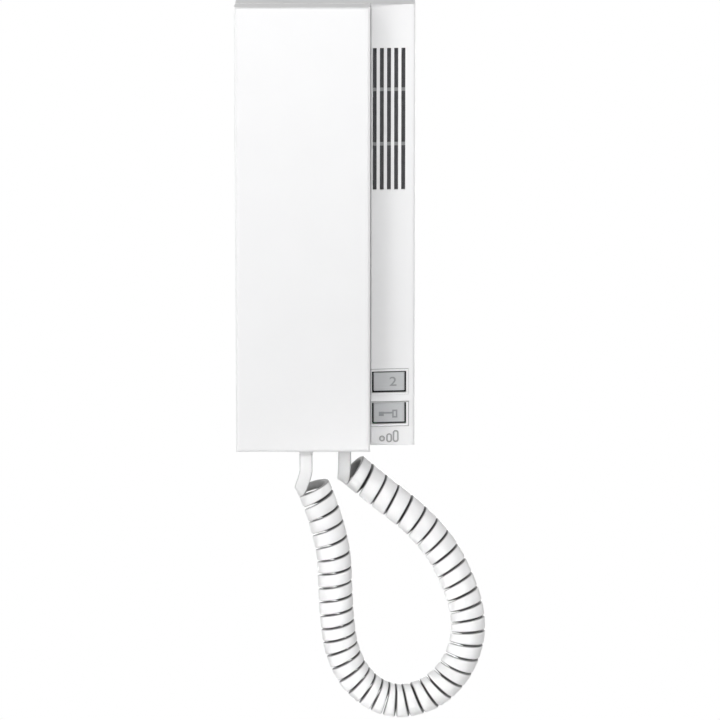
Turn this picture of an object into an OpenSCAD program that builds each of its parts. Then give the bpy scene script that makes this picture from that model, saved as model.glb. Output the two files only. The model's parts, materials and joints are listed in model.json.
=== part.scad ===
// Slimline wall station of a door-entry system: a shallow base on the wall, a flat
// handset lying in its cradle, a side panel with a slotted grille and two keys, and a
// flat curly cord that hangs in a loop from the handset to the base.
// Millimetres. The wall is the plane Y = 0, the front looks along -Y, and +Z is up.

/* [Station] */
// Width over the base
station_w = 85; // [84:0.5:88]
// Height over the base and the handset
station_h = 212; // [210:1:216]
// Wall thickness of the mouldings
wall = 2; // [1.8:0.1:2.2]
// Round on the outer edges of the base
edge_r = 1.2; // [0.8:0.1:1.4]

/* [Base] */
// Depth of the deck that the handset lies on
deck_d = 19; // [18.6:0.1:19.4]
// Depth of the side panel where it meets the handset
panel_d = 23; // [22.8:0.1:23.4]
// How far the side panel falls back towards its outer edge
panel_fall = 2.4; // [2:0.1:2.6]
// Thickness of the side panel's front wall
panel_wall = 1.8; // [1.6:0.1:1.9]
// Shadow gap between the housing's rim and the wall
rim_gap = 0.4; // [0.2:0.1:0.6]

/* [Handset] */
// Depth of the handset's front face from the wall
front_d = 38.4; // [38:0.1:39]
// Width of the handset
handset_w = 63.8; // [63.6:0.1:63.9]
// Round on the front edges of the handset
handset_r = 1.8; // [1.4:0.1:2]
// Gap between the deck and the back of the handset
cradle_gap = 0.6; // [0.5:0.1:0.8]
// Depth of the parting line between the handset's two shells
parting_d = 25; // [24.6:0.1:25.4]
// Radius of the ear boss
ear_r = 23; // [22:0.5:23]
// Radius of the mouth boss
mouth_r = 18; // [17:0.5:18]
// How far the two bosses stand out of the handset's back
boss_h = 5; // [4.6:0.1:5]

/* [Grille] */
// Number of slots side by side
slot_count = 5; // [5:1:5]
// Width of one slot
slot_w = 1.85; // [1.6:0.05:1.9]
// Distance from one slot to the next
slot_pitch = 3.39; // [3.3:0.01:3.42]
// Height of the slots' upper end
slot_top = 85.2; // [84:0.2:86]
// Height of the slots' lower end
slot_bottom = 17.8; // [17:0.2:19]
// Height of the two bars behind the slots
bar_h = 1.6; // [1.2:0.1:1.8]

/* [Keys] */
// Width of the key windows
window_w = 16.4; // [16.2:0.1:16.5]
// Height of the key windows
window_h = 10.4; // [10.3:0.1:10.5]
// Gap round the keys' caps
key_gap = 0.8; // [0.7:0.05:0.9]
// How far the windows' rims stand out of the panel
rim_proud = 0.3; // [0.2:0.05:0.4]
// Travel of the function key
key_travel = 1.2; // [0.8:0.1:1.2]
// How far the caps stand out of the panel
key_proud = 0.4; // [0.2:0.1:0.6]

/* [Wall fixing] */
// Distance between the two wall screws
screw_spacing = 60; // [60:1:62]
// Radius of the wall screw holes
screw_hole_r = 2.2; // [2:0.1:2.6]
// Width of the cable entry
entry_w = 24; // [20:1:24]
// Height of the cable entry
entry_h = 18; // [16:1:20]

/* [Cord] */
// Width of the flat cord
cord_w = 6.2; // [6:0.1:6.3]
// Thickness of the flat cord
cord_t = 2.4; // [2.2:0.1:2.6]
// Radius of the coil at the middle of the cord
coil_r = 7; // [6.8:0.1:7.2]
// Whole turns of the coil, which ends half a turn later
coil_turns = 42; // [40:1:42]
// Gap between neighbouring turns
turn_gap = 0.75; // [0.75:0.05:0.85]

/* [Hidden] */

half_w = station_w / 2;
half_h = station_h / 2;
fit = 0.3;

// Side panel: its front runs from the seam to the outer edge and falls back on the way
seam_x = handset_w - half_w;
panel_x = seam_x + fit;
panel_in_x = panel_x + 0.8;
panel_slope = panel_fall / (half_w - edge_r - panel_x);
function panel_y(x) = -panel_d + (x - panel_x) * panel_slope;

// Deck and the two cradle pockets
boss_x = seam_x - handset_w / 2;
ear_z = 66;
mouth_z = -70;
pocket_clear = 1.5;
pocket_d = boss_h + 1;
ringer_at = [26.5, 0, 49];
ringer_r = 14;
bar_z = [65.4, 39.5];
frame_t = 0.8;

// Keys, from top to bottom
window_x = panel_in_x - 0.3;
key1_top = -69.7;
key2_top = -84.9;
key_lift = 0.2;
rim_w = 1;
key_x = window_x + window_w / 2;
hinge_y = -17.6;
hinge_z = -83.5;
pin_r = 0.8;
plunger_r = 1.7;
board_y = -4.6;
board_t = 1.6;
switch_h = 3.5;
switch_top = board_y - board_t - switch_h;
switch_z = [key1_top - window_h / 2, -91];
plunger_tip = switch_top - 2.6;
plunger_in = 1;

// Handset
handset_back_y = -deck_d - cradle_gap;

// Volume slider in the bottom wall
volume_x = 31;
volume_y = -10.2;
volume_travel = 3;

// Fixings
housing_screw_at = [[-33, 30], [-33, -30]];
board_screw_at = [[16, 16], [36.5, 16], [16, -62], [36.5, -66]];
handset_screw_at = [[boss_x, 92.5], [boss_x, -92.5]];
magnet_z = [26, -30];

// Cord: where the two ends leave their glands, and the axis that the coil winds round, as
// points with two and a half turns of the coil between each and the next
gland_w = 7.2;
gland_h = 4.2;
handset_exit = [-9.4, -31, -half_h];
base_exit = [9, -14, -half_h];
gland_out = 2;
tail_l = 2;
axis_points = [
    [-6, -26, -125], [-0.5, -26, -140], [3.5, -26, -157.5], [4.5, -26, -174.5],
    [5.5, -26, -191], [8, -25.5, -206], [14.5, -25, -219.5], [25, -24, -228.5],
    [37, -23, -231.5], [51, -22, -227.5], [62, -21, -217], [68, -20, -202.5],
    [68, -18, -188], [63, -16, -172.5], [54.5, -14, -157], [42.5, -13, -143.5],
    [27, -12, -131], [13, -12, -119.5]];
last_point = len(axis_points) - 1;
all_turns = coil_turns + 0.5;
rings_per_turn = 8;
coil_spread = 1.22;

// ---------- shared functions ----------

function unit(v) = v / norm(v);
function arc(centre, r, from, to, steps = 6) =
    [for (i = [0 : steps]) let (a = from + (to - from) * i / steps)
        centre + r * [cos(a), sin(a)]];
function rounded(x0, y0, x1, y1, r) = concat(
    arc([x1 - r, y1 - r], r, 0, 90), arc([x0 + r, y1 - r], r, 90, 180),
    arc([x0 + r, y0 + r], r, 180, 270), arc([x1 - r, y0 + r], r, 270, 360));
function oblong(centre, w, h, r) = rounded(
    centre.x - w / 2, centre.y - h / 2, centre.x + w / 2, centre.y + h / 2, r);

// Extrusions of an outline along X (drawn in Y, Z), Y (drawn in X, Z) and Z (drawn in X, Y)
module along_x(x0, x1) translate([x0, 0, 0]) rotate([90, 0, 90]) linear_extrude(x1 - x0) children();
module along_y(y0, y1) translate([0, y1, 0]) rotate([90, 0, 0]) linear_extrude(y1 - y0) children();
module along_z(z0, z1) translate([0, 0, z0]) linear_extrude(z1 - z0) children();

module box(low, high) translate(low) cube(high - low);

// Round bars along Y and X, and a shape turned about a line along Y, its heights towards +Y
module rod_y(x, z, y0, y1, r) translate([x, y0, z]) rotate([-90, 0, 0])
    cylinder(r = r, h = y1 - y0, $fn = 48);
module rod_x(y, z, x0, x1, r) translate([x0, y, z]) rotate([0, 90, 0])
    cylinder(r = r, h = x1 - x0, $fn = 48);
module turned_y(x, y, z) translate([x, y, z]) rotate([-90, 0, 0])
    rotate_extrude($fn = 72) children();

// ---------- base ----------

module back_plate() color("gainsboro") {
    plate_w = station_w - 2 * wall - 2 * fit;
    plate_h = station_h - 2 * wall - 2 * fit;
    difference() {
        union() {
            along_y(-wall, 0) polygon(oblong([0, 0], plate_w, plate_h, 1));
            for (at = housing_screw_at) rod_y(at.x, at.y, -deck_d + wall + fit, -wall, 3.2);
            for (at = board_screw_at) rod_y(at.x, at.y, board_y, -wall, 2.6);
            for (side = [-1, 1]) rod_y(0, side * screw_spacing / 2, -wall - 1, -wall, 5);
            stiffening_ribs();
        }
        for (side = [-1, 1])
            rod_y(0, side * screw_spacing / 2, -wall - 2, 1, screw_hole_r);
        along_y(-wall - 2, 1) polygon(oblong([0, 0], entry_w, entry_h, 1.5));
        for (at = housing_screw_at) rod_y(at.x, at.y, -deck_d, -wall - 3, 1.5);
        for (at = board_screw_at) rod_y(at.x, at.y, board_y - 1, -wall, 1);
    }
}

module stiffening_ribs() {
    rib_d = 2;
    half_t = 0.6;
    x_ends = [-38, -18];
    z_end = 95;
    for (z = [-z_end, z_end]) box([x_ends[0], -wall - rib_d, z - half_t],
        [x_ends[1], -wall, z + half_t]);
    for (x = x_ends) box([x - half_t, -wall - rib_d, -z_end - half_t],
        [x + half_t, -wall, z_end + half_t]);
}

// Section across the housing: deck on the left, step, and the side panel falling back
function housing_outline() = concat(
    [[-half_w, -rim_gap]], arc([-half_w + edge_r, -deck_d + edge_r], edge_r, 180, 270),
    [[panel_x, -deck_d]], [[panel_x, -panel_d + 0.3], [panel_x + 0.3, panel_y(panel_x + 0.3)]],
    arc([half_w - edge_r, panel_y(half_w - edge_r) + edge_r], edge_r, 277, 360),
    [[half_w, -rim_gap]]);
function cavity_outline() = [
    [-half_w + wall, 1], [-half_w + wall, -deck_d + wall], [panel_in_x, -deck_d + wall],
    [panel_in_x, panel_y(panel_in_x) + panel_wall],
    [half_w - wall, panel_y(half_w - wall) + panel_wall], [half_w - wall, 1]];

module housing_shell() difference() {
    end_r = 3;
    intersection() {
        along_z(-half_h, half_h) polygon(housing_outline());
        along_x(-half_w - 1, half_w + 1) polygon(concat(
            arc([-panel_d + end_r, half_h - end_r], end_r, 180, 90),
            [[1, half_h], [1, -half_h]],
            arc([-panel_d + end_r, -half_h + end_r], end_r, 270, 180)));
    }
    along_z(-half_h + wall, half_h - wall) polygon(cavity_outline());
}

module cradle_pocket(z, r) difference() {
    rod_y(boss_x, z, -deck_d, -deck_d + pocket_d + 1.5, r + 1.5);
    rod_y(boss_x, z, -deck_d - 1, -deck_d + pocket_d, r);
}

module hinge_ear(x0, x1) difference() {
    box([x0, panel_y(x0) + panel_wall / 2, hinge_z - 1.6], [x1, hinge_y + 1.8, hinge_z + 1.8]);
    rod_x(hinge_y, hinge_z, x0 - 1, x1 + 1, pin_r);
}

module ringer_seat() difference() {
    rod_y(ringer_at.x, ringer_at.z, -17.6, -13, ringer_r + 1.4);
    rod_y(ringer_at.x, ringer_at.z, -19, -12, ringer_r + 0.1);
    box([0, -23, ringer_at.z - 20], [panel_in_x, -deck_d + wall, ringer_at.z + 20]);
}

module grille_cut(x) {
    face = panel_y(x);
    box([x - slot_w / 2, face - 1, slot_bottom], [x + slot_w / 2, face + panel_wall + 1, slot_top]);
}

// A slab that follows the panel's slope, from one depth below its face to another
module panel_slab(x0, x1, z0, z1, from, to) along_z(z0, z1) polygon([
    [x0, panel_y(x0) + from], [x1, panel_y(x1) + from],
    [x1, panel_y(x1) + to], [x0, panel_y(x0) + to]]);

module window_rim(top) panel_slab(panel_x + 0.15, window_x + window_w + rim_w,
    top - window_h - rim_w, top + rim_w, -rim_proud, panel_wall / 2);

module window_cut(top) box([window_x, -panel_d - 1, top - window_h],
    [window_x + window_w, -deck_d + wall, top]);

module base_housing() color("white") difference() {
    union() {
        difference() {
            union() {
                housing_shell();
                window_rim(key1_top);
                window_rim(key2_top);
            }
            rod_y(boss_x, ear_z, -deck_d - 1, -deck_d + wall + 1, ear_r + pocket_clear);
            rod_y(boss_x, mouth_z, -deck_d - 1, -deck_d + wall + 1, mouth_r + pocket_clear);
        }
        cradle_pocket(ear_z, ear_r + pocket_clear);
        cradle_pocket(mouth_z, mouth_r + pocket_clear);
        ringer_seat();
        hinge_ear(panel_in_x, panel_in_x + 1.3);
        hinge_ear(window_x + window_w - 1.3, window_x + window_w);
    }
    for (k = [0 : slot_count - 1]) grille_cut(panel_in_x + slot_w / 2 + k * slot_pitch);
    window_cut(key1_top);
    window_cut(key2_top);
    for (at = housing_screw_at) {
        rod_y(at.x, at.y, -deck_d - 1, -deck_d + wall + 1, 1.7);
        rod_y(at.x, at.y, -deck_d - 1, -deck_d + 1, 3.2);
    }
    box([volume_x - volume_travel - 2.3, volume_y - 1.5, -half_h - 1],
        [volume_x + volume_travel + 2.3, volume_y + 1.5, -half_h + wall + 1]);
    gland_hole(base_exit);
}

module gland_hole(exit) along_z(-half_h - 1, -half_h + wall + 1)
    polygon(oblong([exit.x, exit.y], gland_w, gland_h, 1));

// Clip-in frame behind the slots: two cross bars show through them, the cloth lies on its back
frame_x = [panel_in_x + 0.2, half_w - wall - 0.2];
frame_z = [slot_bottom - 2.8, slot_top + 3];
module grille_frame() color("gray") difference() {
    panel_slab(frame_x[0], frame_x[1], frame_z[0], frame_z[1], panel_wall, panel_wall + frame_t);
    ends = [slot_top + 0.5, bar_z[0] - bar_h / 2, bar_z[1] - bar_h / 2];
    starts = [bar_z[0] + bar_h / 2, bar_z[1] + bar_h / 2, slot_bottom - 0.5];
    for (k = [0 : 2]) box([frame_x[0] - 1, -panel_d, starts[k]], [frame_x[1] - 1.6, -deck_d + wall, ends[k]]);
}

module grille_gauze() color("dimgray") panel_slab(frame_x[0], frame_x[1], frame_z[0], frame_z[1],
    panel_wall + frame_t, panel_wall + frame_t + fit);

module ringer_frame() color("silver") turned_y(ringer_at.x, -16.6, ringer_at.z) polygon([
    [ringer_r - 2.2, 0], [ringer_r, 0], [ringer_r, 1], [ringer_r - 1.6, 1.6],
    [9.6, 5], [4, 5], [4, 4.2], [9, 4.2], [ringer_r - 2.2, 1]]);

module ringer_cone() color("black") turned_y(ringer_at.x, -16.6, ringer_at.z) polygon([
    [0, 1.2], [2.2, 1.6], [3.4, 3.4], [9.4, 0.7], [10.6, 0.1], [11.4, -0.3], [12.8, -0.3],
    [12.8, 0], [11.6, 0], [10.6, 0.5], [9.6, 1.1], [3.6, 3.9], [2.8, 3.9], [2, 2], [0, 1.6]]);

module ringer_magnet() color("gray") turned_y(ringer_at.x, -11.6, ringer_at.z) polygon([
    [0, 0], [7.6, 0], [8, 0.4], [8, 3.4], [7.6, 3.8], [0, 3.8]]);

module circuit_board() color("darkgreen") difference() {
    box([13, board_y - board_t, -102], [39.4, board_y, 20]);
    for (at = board_screw_at) rod_y(at.x, at.y, board_y - 3, board_y + 1, 1.2);
}

module board_screws() color("silver") for (at = board_screw_at) {
    rod_y(at.x, at.y, board_y - board_t, board_y + 2.4, 1);
    rod_y(at.x, at.y, board_y - board_t - 1, board_y - board_t, 1.9);
}

// Five screw clamps in a row beside the cable entry
clamp_pitch = 5;
clamp_z = [for (k = [0 : 4]) -20 + k * clamp_pitch];
module terminal_block() color("seagreen") {
    low = [14, board_y - board_t - 9, clamp_z[0] - clamp_pitch / 2];
    high = [22, board_y - board_t, clamp_z[4] + clamp_pitch / 2];
    difference() {
        box(low, high);
        box([low.x - 1, low.y - 1, low.z - 1], [low.x + 1.6, low.y + 3, high.z + 1]);
        for (z = clamp_z) {
            rod_y(18.4, z, low.y - 1, high.y - 3, 1.6);
            box([low.x - 1, low.y + 4, z - 1.4], [low.x + 3, high.y - 1.6, z + 1.4]);
        }
    }
}

module terminal_screws() color("silver") for (z = clamp_z) difference() {
    rod_y(18.4, z, board_y - board_t - 8, board_y - board_t - 3, 1.5);
    box([16.4, board_y - board_t - 9, z - 0.25], [20.4, board_y - board_t - 7.4, z + 0.25]);
}

module reed_switch() color("palegreen") translate([17, board_y - board_t - 1.2, -38])
    rotate([0, 90, 0]) {
        cylinder(r = 1.2, h = 12, $fn = 32);
        translate([0, 0, -3]) cylinder(r = 0.3, h = 18, $fn = 16);
    }

module cradle_magnets() color("dimgray") for (z = magnet_z)
    rod_y(boss_x, z, -deck_d + wall, -deck_d + wall + 3, 6);

module housing_screws() color("silver") for (at = housing_screw_at) difference() {
    union() {
        rod_y(at.x, at.y, -deck_d + 1, -wall - 4, 1.5);
        rod_y(at.x, at.y, -deck_d + 0.1, -deck_d + 1, 3);
    }
    cross_recess(at, -deck_d + 0.1);
}

module cross_recess(at, face) for (turn = [0, 90]) translate([at.x, face, at.y])
    rotate([0, turn, 0]) cube([3.2, 1.2, 0.6], center = true);

module key_switches() color("black") for (z = switch_z) difference() {
    box([key_x - 3, switch_top, z - 3], [key_x + 3, board_y - board_t, z + 3]);
    rod_y(key_x, z, switch_top - 1, switch_top + plunger_in + key_travel + 0.4, plunger_r + 0.05);
}

module volume_switch() color("dimgray") difference() {
    box([volume_x - 6.5, volume_y - 2.6, -102.4], [volume_x + 6.5, board_y - board_t, -97.6]);
    box([volume_x - volume_travel - 1.8, volume_y - 1, -103],
        [volume_x + volume_travel + 1.8, volume_y + 1, -99]);
}

module hinge_pin() color("silver")
    rod_x(hinge_y, hinge_z, panel_in_x + 0.1, window_x + window_w + 0.6, pin_r);

// Cord relief: a flange inside the wall, a neck through it and a short lip outside
module gland(exit) {
    at = [exit.x, exit.y];
    along_z(-half_h + wall, -half_h + wall + 1.4) polygon(oblong(at, gland_w + 2.2, gland_h + 1.6, 1.4));
    along_z(-half_h, -half_h + wall) polygon(oblong(at, gland_w, gland_h, 1));
    along_z(-half_h - gland_out, -half_h) polygon(oblong(at, gland_w - 0.4, gland_h - 0.4, 1.4));
}

module base_gland() color("whitesmoke") gland(base_exit);

// ---------- keys ----------

// A cap whose face follows the panel's slope, with a flange behind the panel
module key_cap(x0, x1, z0, z1, back) along_z(z0, z1) polygon([
    [x0, panel_y(x0) - key_proud + 0.4], [x0 + 0.4, panel_y(x0 + 0.4) - key_proud],
    [x1 - 0.4, panel_y(x1 - 0.4) - key_proud], [x1, panel_y(x1) - key_proud + 0.4],
    [x1, back], [x0, back]]);

module function_key() color("darkgray") {
    bottom = key1_top - window_h;
    key_cap(window_x + key_gap, window_x + window_w - key_gap, bottom + key_gap + key_lift,
        key1_top - key_gap + key_lift, -17.4);
    box([window_x + key_gap, -18.5, bottom - 1], [window_x + window_w + 1, -17.4, key1_top + 1]);
    rod_y(key_x, switch_z[0], -17.4, plunger_tip, 1.2);
}

module function_plunger() color("ivory")
    rod_y(key_x, switch_z[0], plunger_tip, switch_top + plunger_in, plunger_r);

module door_key() color("darkgray") difference() {
    x0 = window_x + key_gap;
    x1 = window_x + window_w - key_gap;
    barrel_x = [panel_in_x + 1.5, window_x + window_w - 1.5];
    union() {
        key_cap(x0, x1, key2_top - window_h + key_gap + key_lift,
            key2_top - 0.2, -17.4);
        box([barrel_x[0], -18.2, key2_top - 1], [barrel_x[1], hinge_y + 0.7, hinge_z]);
        rod_x(hinge_y, hinge_z, barrel_x[0], barrel_x[1], 1.5);
        rod_y(key_x, switch_z[1], -17.4, plunger_tip - fit, 1.2);
    }
    rod_x(hinge_y, hinge_z, barrel_x[0] - 1, barrel_x[1] + 1, pin_r + 0.05);
}

module door_plunger() color("ivory")
    rod_y(key_x, switch_z[1], plunger_tip, switch_top + plunger_in, plunger_r);

module volume_knob() color("darkgray") {
    box([volume_x - 1.5, volume_y - 0.8, -102.6], [volume_x + 1.5, volume_y + 0.8, -99.3]);
    difference() {
        box([volume_x - 2, volume_y - 1.2, -half_h + 0.2], [volume_x + 2, volume_y + 1.2, -102.6]);
        for (k = [-1, 0, 1]) translate([volume_x + k * 1.1, volume_y, -half_h + 0.2])
            rotate([0, 45, 0]) cube([0.5, 4, 0.5], center = true);
    }
}

// ---------- handset ----------

function shell_section(front, back, r_front, r_back) = concat(
    arc([-half_w + r_front, front + r_front], r_front, 180, 270),
    arc([seam_x - r_front, front + r_front], r_front, 270, 360),
    arc([seam_x - r_back, back - r_back], r_back, 0, 90),
    arc([-half_w + r_back, back - r_back], r_back, 90, 180));
function shell_profile(front, back, r_front, r_back) = concat(
    arc([front + r_front, half_h - r_front], r_front, 180, 90),
    arc([back - r_back, half_h - r_back], r_back, 90, 0),
    arc([back - r_back, -half_h + r_back], r_back, 360, 270),
    arc([front + r_front, -half_h + r_front], r_front, 270, 180));

module shell_block(front, back, r_front, r_back) intersection() {
    along_z(-half_h, half_h) polygon(shell_section(front, back, r_front, r_back));
    along_x(-half_w - 1, seam_x + 1) polygon(shell_profile(front, back, r_front, r_back));
}

module handset_front() color("white") difference() {
    union() {
        difference() {
            shell_block(-front_d, -parting_d, handset_r, 0.2);
            box([-half_w + wall, -front_d + wall, -half_h + wall],
                [seam_x - wall, -parting_d + 1, half_h - wall]);
        }
        for (at = handset_screw_at)
            rod_y(at.x, at.y, -front_d + wall - 0.5, -parting_d - 0.2, 3);
        for (z = [-40, 0, 40]) box([-half_w + 1, -front_d + 1, z - 0.6],
            [seam_x - 1, -front_d + wall + 1.5, z + 0.6]);
    }
    for (at = handset_screw_at) rod_y(at.x, at.y, -parting_d - 8, -parting_d + 1, 1.2);
    gland_hole(handset_exit);
}

// Boss with a dished face that rests round the ear or in front of the mouth
module boss(z, r) turned_y(boss_x, handset_back_y - 1, z) polygon(concat(
    [[0, 0], [r + 0.6, 0], [r + 0.6, 1], [r, 1.6]],
    arc([r - 1.4, boss_h - 0.4], 1.4, 0, 90, 5),
    [[r - 3.2, boss_h + 0.7], [r * 0.5, boss_h + 0.1], [0, boss_h - 0.2]]));

module sound_holes(z, ring_r, count, hole_r) {
    y0 = handset_back_y - 4;
    y1 = handset_back_y + boss_h + 1;
    rod_y(boss_x, z, y0, y1, hole_r);
    for (k = [0 : count - 1]) let (a = 360 * k / count)
        rod_y(boss_x + ring_r * cos(a), z + ring_r * sin(a), y0, y1, hole_r);
}

module handset_back() color("white") difference() {
    union() {
        difference() {
            shell_block(-parting_d + 0.1, handset_back_y, 0.2, edge_r);
            box([-half_w + wall, -parting_d - 1, -half_h + wall],
                [seam_x - wall, handset_back_y - wall, half_h - wall]);
        }
        boss(ear_z, ear_r);
        boss(mouth_z, mouth_r);
        for (at = handset_screw_at) rod_y(at.x, at.y, -parting_d + 0.1, handset_back_y - 1, 3);
    }
    rod_y(boss_x, ear_z, -parting_d, handset_back_y + 2.6, ear_r - 5);
    rod_y(boss_x, mouth_z, -parting_d, handset_back_y + 2.6, 8);
    sound_holes(ear_z, 7, 8, 1.1);
    sound_holes(mouth_z, 3.4, 4, 0.9);
    for (at = handset_screw_at) {
        rod_y(at.x, at.y, -parting_d - 1, handset_back_y + 1, 1.4);
        rod_y(at.x, at.y, handset_back_y - 1.6, handset_back_y + 1, 2.6);
    }
}

module receiver_capsule() color("dimgray") turned_y(boss_x, handset_back_y - 7.4, ear_z) polygon([
    [0, 0], [9, 0], [9, 1.6], [ear_r - 7, 3], [ear_r - 6, 3.6], [ear_r - 6, 8.4],
    [ear_r - 7, 8.8], [0, 8.8]]);

module receiver_ring() color("black") turned_y(boss_x, handset_back_y + 1.4, ear_z) polygon([
    [ear_r - 9, 0], [ear_r - 5.4, 0], [ear_r - 5.4, 1.2], [ear_r - 9, 1.2]]);

module microphone_capsule() color("silver") turned_y(boss_x, handset_back_y - 2.6, mouth_z)
    polygon([[0, 0], [4.6, 0], [4.9, 0.3], [4.9, 4.9], [4.6, 5.2], [0, 5.2]]);

module microphone_boot() color("black") turned_y(boss_x, handset_back_y - 3.2, mouth_z) polygon([
    [4.9, 0.6], [4.9, 5.8], [6.4, 5.8], [7.9, 5], [7.9, 0], [4, 0], [4, 0.6]]);

module keeper_plates() color("slategray") for (z = magnet_z)
    along_y(handset_back_y - wall - 2, handset_back_y - wall)
        polygon(oblong([boss_x, z], 36, 22, 1));

module hook_magnet() color("dimgray")
    rod_y(seam_x - 6, -38, handset_back_y - wall - 3, handset_back_y - wall, 3);

module handset_screws() color("silver") for (at = handset_screw_at) difference() {
    union() {
        rod_y(at.x, at.y, -parting_d - 6, handset_back_y - 1.6, 1.2);
        rod_y(at.x, at.y, handset_back_y - 1.6, handset_back_y - 0.4, 2.4);
    }
    cross_recess([at.x, at.y], handset_back_y - 0.4);
}

module handset_gland() color("whitesmoke") gland(handset_exit);

// ---------- cord ----------

// The coil's axis after so many turns: a smooth curve through axis_points
function pt(i) = axis_points[max(0, min(last_point, i))];
function axis_at(turn) =
    let (along = turn * last_point / all_turns, i = min(floor(along), last_point - 1),
         t = along - i, a = pt(i - 1), b = pt(i), c = pt(i + 1), d = pt(i + 2))
    0.5 * (2 * b + (c - a) * t + (2 * a - 5 * b + 4 * c - d) * t ^ 2
        + (3 * b - a - 3 * c + d) * t ^ 3);

// One ring of the coil: [centre, direction across the cord's width, outward direction, width]
function coil_ring(k) =
    let (turn = k / rings_per_turn,
         from = max(0, turn - 0.5),
         to = min(all_turns, turn + 0.5),
         centre = axis_at(turn),
         before = axis_at(from),
         after = axis_at(to),
         ahead = unit(after - before),
         pitch = norm(after - before) / (to - from),
         bend = to - from < 1 ? [0, 0, 0]
             : (unit(after - centre) - unit(centre - before)) / (pitch / 2),
         back = unit([0, 1, 0] - ahead.y * ahead),
         side = cross(back, ahead),
         out = cos(360 * turn) * side + sin(360 * turn) * back,
         room = pitch * (1 - coil_r * (bend * out)))
    [centre + coil_r * out, ahead, out, min(cord_w * coil_spread, room - turn_gap)];

// Section of the flat cord, as [across, outward] shares of half its width and thickness
section = [[-1, -1], [1, -1], [1, 0.3], [0.68, 1], [-0.68, 1], [-1, 0.3]];
function ring_points(ring) = [for (p = section)
    ring[0] + ring[1] * p.x * ring[3] / 2 + ring[2] * p.y * cord_t / 2];

// Lead from a straight tail into the coil, as a cubic between the two directions
function lead(p0, d0, p1, d1, t) =
    (2 * t ^ 3 - 3 * t ^ 2 + 1) * p0 + (t ^ 3 - 2 * t ^ 2 + t) * d0
    + (3 * t ^ 2 - 2 * t ^ 3) * p1 + (t ^ 3 - t ^ 2) * d1;
function lead_ring(p0, d0, across0, p1, d1, across1, t) =
    let (centre = lead(p0, d0, p1, d1, t),
         ahead = unit(lead(p0, d0, p1, d1, t + 0.01) - lead(p0, d0, p1, d1, t - 0.01)),
         mixed = (1 - t) * across0 + t * across1,
         across = unit(mixed - (mixed * ahead) * ahead),
         out = cross(ahead, across))
    [centre, across, out, cord_w];

tail_z = -half_h - gland_out - tail_l;
lead_z = tail_z - cord_w;
first_ring = coil_ring(0);
last_ring = coil_ring(all_turns * rings_per_turn);
lead_pull = 7;
start_flow = cross(first_ring[1], first_ring[2]);
end_flow = cross(last_ring[1], last_ring[2]);
start_from = [handset_exit.x, handset_exit.y, lead_z];
end_at = [base_exit.x, base_exit.y, lead_z];
lead_steps = 5;
cord_rings = concat(
    [[[handset_exit.x, handset_exit.y, tail_z], [1, 0, 0], [0, -1, 0], cord_w]],
    [for (k = [0 : lead_steps - 1]) lead_ring(start_from, [0, 0, -lead_pull], [1, 0, 0],
        first_ring[0], start_flow * lead_pull, first_ring[1], k / lead_steps)],
    [for (k = [0 : all_turns * rings_per_turn]) coil_ring(k)],
    [for (k = [1 : lead_steps]) lead_ring(last_ring[0], end_flow * lead_pull, last_ring[1],
        end_at, [0, 0, lead_pull], [-1, 0, 0], k / lead_steps)],
    [[[base_exit.x, base_exit.y, tail_z], [-1, 0, 0], [0, -1, 0], cord_w]]);
cord_points = [for (ring = cord_rings) ring_points(ring)];

// Rings of points joined into one closed tube of triangles
module tube(rings) {
    n = len(rings[0]);
    last = len(rings) - 1;
    faces = concat(
        [for (k = [0 : last - 1]) for (j = [0 : n - 1]) let (i = (j + 1) % n)
            [k * n + j, k * n + i, (k + 1) * n + i]],
        [for (k = [0 : last - 1]) for (j = [0 : n - 1]) let (i = (j + 1) % n)
            [k * n + j, (k + 1) * n + i, (k + 1) * n + j]],
        [for (j = [1 : n - 2]) [0, j + 1, j]],
        [for (j = [1 : n - 2]) [last * n, last * n + j, last * n + j + 1]]);
    polyhedron([for (ring = rings) each ring], faces);
}

// A straight flat tail from a gland down to the coil's lead
tail_sides = [[1, 0.4], [0.8, 1], [-0.8, 1], [-1, 0.4], [-1, -0.4], [-0.8, -1], [0.8, -1], [1, -0.4]];
module tail(exit) tube([for (z = [-half_h - gland_out, tail_z])
    [for (p = tail_sides) [exit.x + p.x * cord_w / 2, exit.y + p.y * cord_t / 2, z]]]);

module handset_tail() color("white") tail(handset_exit);
module curly_cord() color("white") tube(cord_points);
module base_tail() color("white") tail(base_exit);

// Least gaps of the coil to itself: neighbouring turns on their points, and strands on centres
near_gap = min([for (k = [0 : len(cord_points) - rings_per_turn - 2])
    for (step = [rings_per_turn - 1 : rings_per_turn + 1])
        for (a = cord_points[k]) for (b = cord_points[k + step]) norm(a - b)]);
far_gap = min([for (k = [0 : 4 : len(cord_rings) - 1])
    for (j = [k + 3 * rings_per_turn : 3 : len(cord_rings) - 1])
        norm(cord_rings[k][0] - cord_rings[j][0])]) - cord_w;
cord_run = [for (k = [1 : len(cord_rings) - 1]) norm(cord_rings[k][0] - cord_rings[k - 1][0])];
echo(near_gap = near_gap, far_gap = far_gap, least_width = min([for (r = cord_rings) r[3]]),
    cord_length = cord_run * [for (r = cord_run) 1] + 2 * tail_l);

back_plate();
base_housing();
grille_frame();
grille_gauze();
ringer_frame();
ringer_cone();
ringer_magnet();
circuit_board();
board_screws();
terminal_block();
terminal_screws();
reed_switch();
cradle_magnets();
housing_screws();
key_switches();
volume_switch();
hinge_pin();
base_gland();
function_key();
function_plunger();
door_key();
door_plunger();
volume_knob();
handset_front();
handset_back();
receiver_capsule();
receiver_ring();
microphone_capsule();
microphone_boot();
keeper_plates();
hook_magnet();
handset_screws();
handset_gland();
handset_tail();
curly_cord();
base_tail();
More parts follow.
